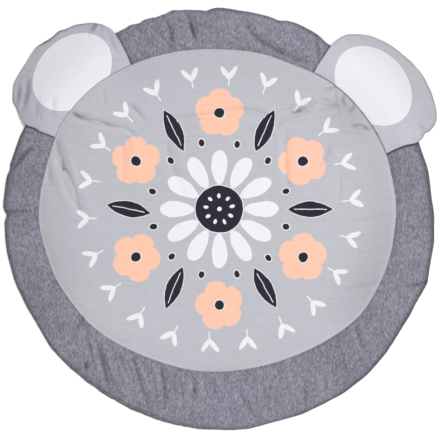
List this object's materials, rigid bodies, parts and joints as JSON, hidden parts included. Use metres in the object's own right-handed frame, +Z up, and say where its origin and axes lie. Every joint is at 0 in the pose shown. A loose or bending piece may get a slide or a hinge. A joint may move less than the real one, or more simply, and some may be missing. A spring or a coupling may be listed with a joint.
{
  "type": "baby play mat",
  "caption": "Round padded cotton play mat with a light oval printed face panel, a dark grey melange border and padded ear flaps at the top edge, lying flat.",
  "frame": {"origin": "middle of the footprint, on the floor", "axes": "+Z up out of the mat's face, +Y towards the top edge between the ears, +X to the right seen from above"},
  "size_m": [0.959, 0.934, 0.0201],
  "materials": {
    "border_jersey": "dark grey melange cotton jersey",
    "panel_jersey": "light grey cotton jersey with a soft print",
    "ear_jersey": "light grey cotton jersey with a white printed inner lobe"
  },
  "bodies": {
    "root": {"pad": "border_jersey", "centre_panel": "panel_jersey", "ear_left": "ear_jersey", "ear_right": "ear_jersey"}
  },
  "joints": []
}
